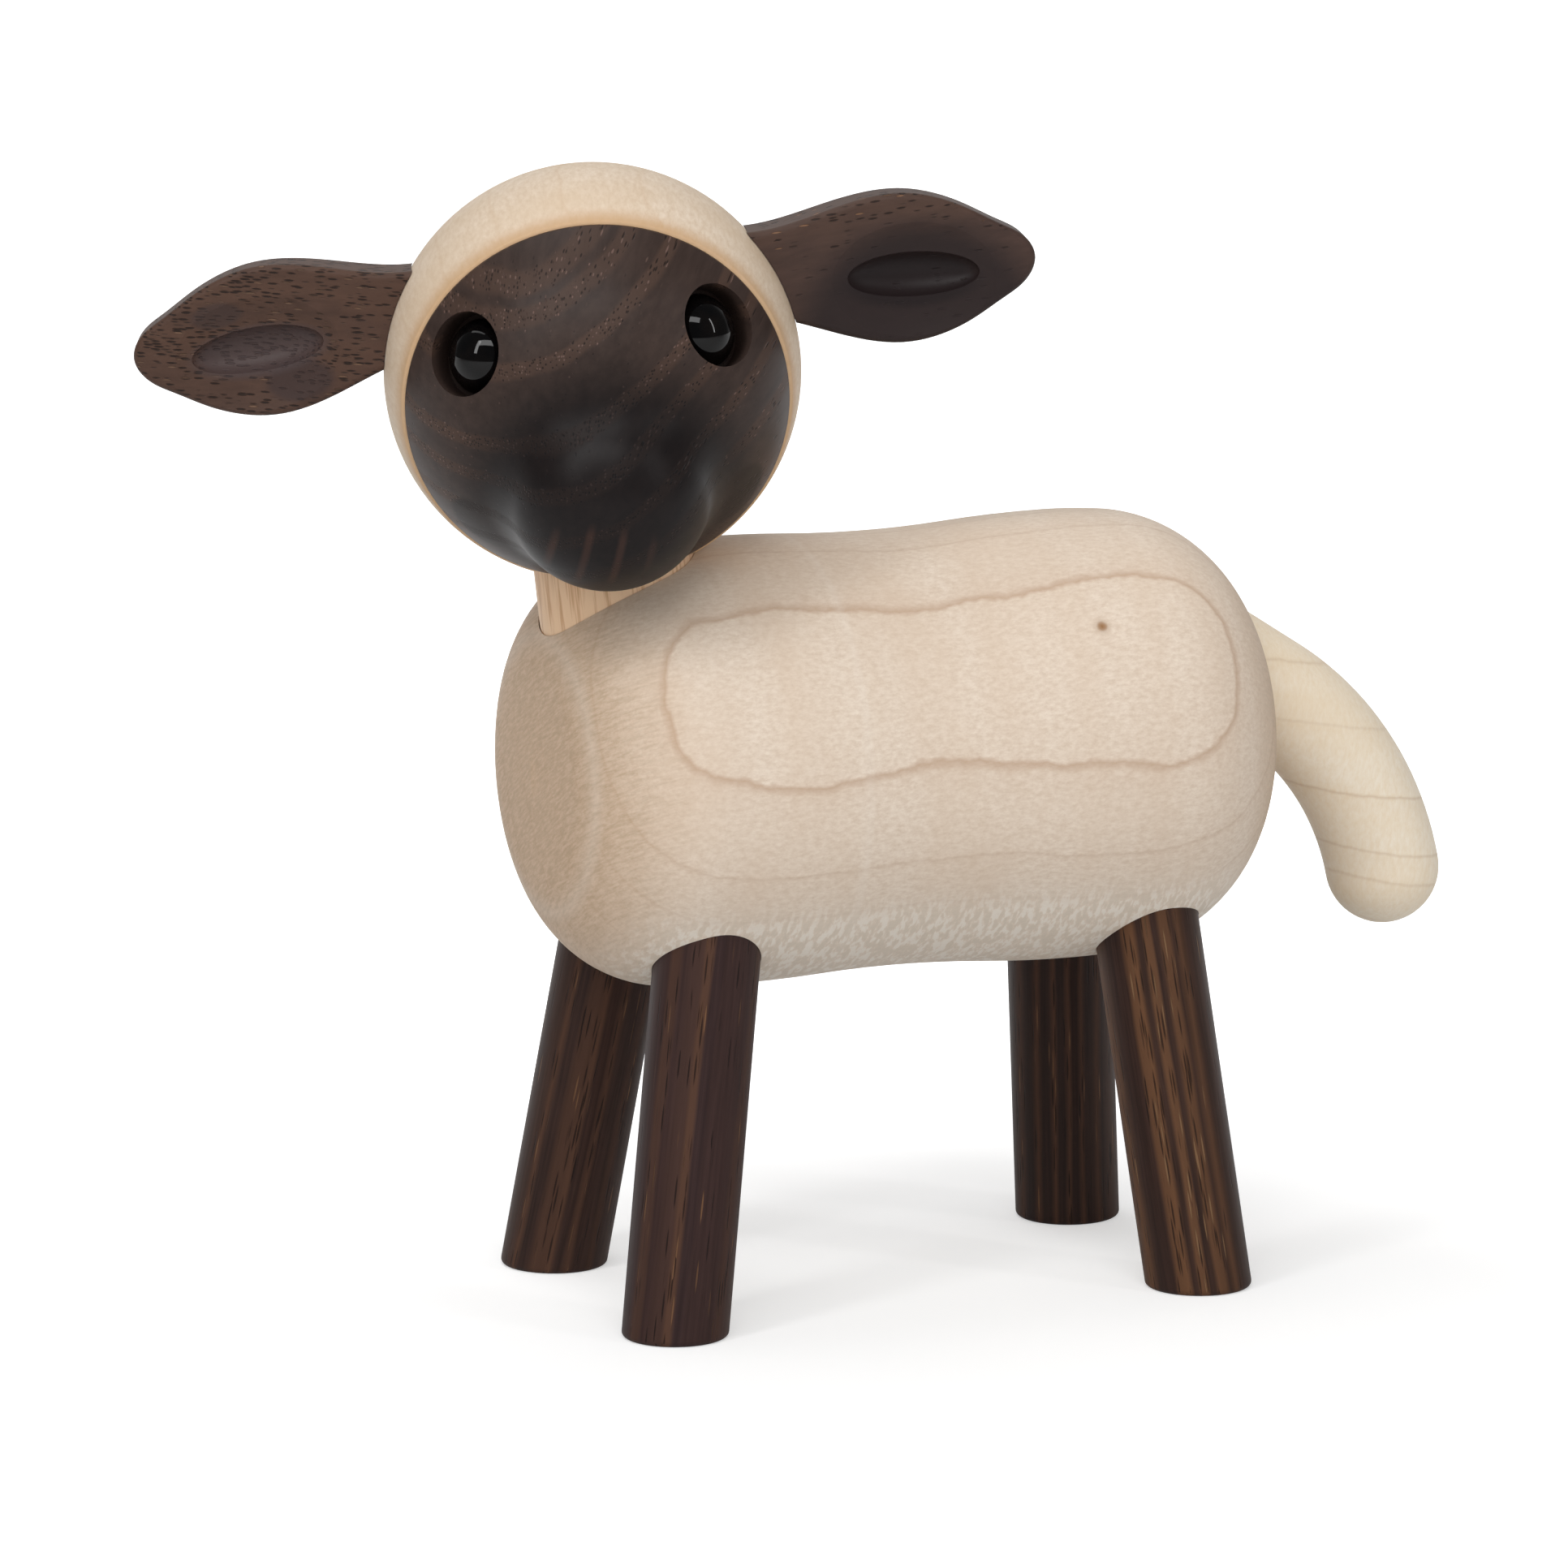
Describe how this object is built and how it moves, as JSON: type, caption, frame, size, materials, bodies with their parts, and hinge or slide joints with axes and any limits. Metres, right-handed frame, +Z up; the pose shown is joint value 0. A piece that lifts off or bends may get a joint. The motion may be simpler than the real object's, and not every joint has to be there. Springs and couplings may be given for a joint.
{
  "type": "sheep figurine",
  "caption": "Small wooden sheep ornament on splayed dowel legs, with a bent tail, a dark face and a round head that turns on its neck dowel.",
  "frame": {"origin": "on the floor, under the middle of the whole ornament's box as stored, on the body's middle plane", "axes": "+Z up; the sheep's nose end is toward -Y and its tail toward +Y; its left side is toward +X; at rest the head is turned 71 degrees to its left"},
  "size_m": [0.035, 0.1008, 0.0864],
  "materials": {
    "pale_wood": "fine sanded, clear matt finish",
    "neck_wood": "fine sanded, clear matt finish",
    "leg_wood": "open grain, dark, satin",
    "ear_wood": "open grain, dark, satin",
    "face_wood": "open grain, dark, smooth satin",
    "eye_bead": "black, high gloss",
    "ring_rubber": "matt"
  },
  "bodies": {
    "torso": {"body": "pale_wood", "front_left_leg": "leg_wood", "front_right_leg": "leg_wood", "rear_left_leg": "leg_wood", "rear_right_leg": "leg_wood", "tail": "pale_wood"},
    "turning_head": {"neck": "neck_wood", "neck_ring": "ring_rubber", "head": "pale_wood", "face": "face_wood", "left_eye": "eye_bead", "right_eye": "eye_bead", "left_ear": "ear_wood", "right_ear": "ear_wood"}
  },
  "joints": [
    {"name": "head_turn", "type": "hinge", "parent": "torso", "child": "turning_head", "pos_m": [0, -0.0156, 0.043], "axis": [0, -0.1132, 0.9936], "continuous": true}
  ]
}
